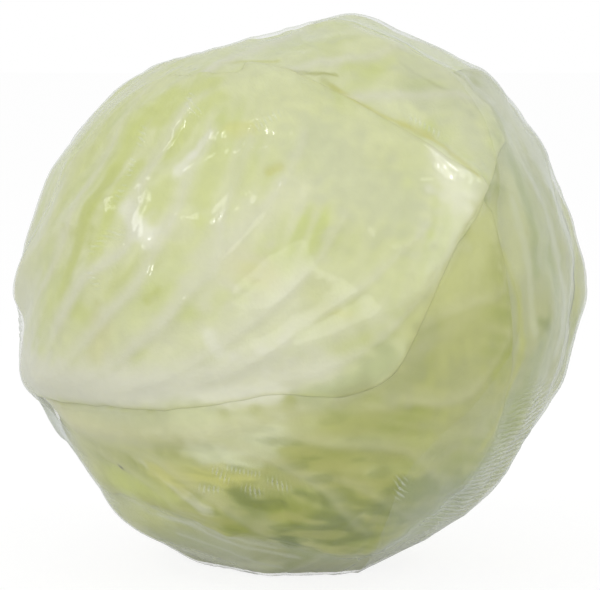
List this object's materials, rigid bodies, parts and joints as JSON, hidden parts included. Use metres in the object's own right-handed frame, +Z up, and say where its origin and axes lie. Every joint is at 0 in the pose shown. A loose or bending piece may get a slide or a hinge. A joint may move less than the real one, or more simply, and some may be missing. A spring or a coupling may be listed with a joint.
{
  "type": "white cabbage",
  "caption": "Round white cabbage head with overlapping outer leaves and a cut stalk, lying on its side in clear shrink film.",
  "frame": {"origin": "on the surface that the head rests on, under the middle of its box", "axes": "+Z up, -Y towards the front leaf, -X towards the stem end, which points a little back and down"},
  "size_m": [0.1758, 0.1672, 0.1697],
  "materials": {
    "heart": "waxy leaf, creamy white",
    "stalk": "cut stalk, pale and slightly dry",
    "pale_leaf": "waxy leaf, pale yellow-green with white veins",
    "green_leaf": "waxy leaf, green with pale veins",
    "film": "clear shrink film, glossy with fine wrinkles"
  },
  "bodies": {
    "root": {"heart": "heart", "stalk": "stalk", "inner_back_leaf": "pale_leaf", "crown_leaf": "pale_leaf", "under_leaf": "green_leaf", "lower_back_leaf": "green_leaf", "lower_front_leaf": "green_leaf", "upper_back_leaf": "green_leaf", "top_leaf": "pale_leaf", "front_leaf": "pale_leaf", "shrink_film": "film"}
  },
  "joints": []
}
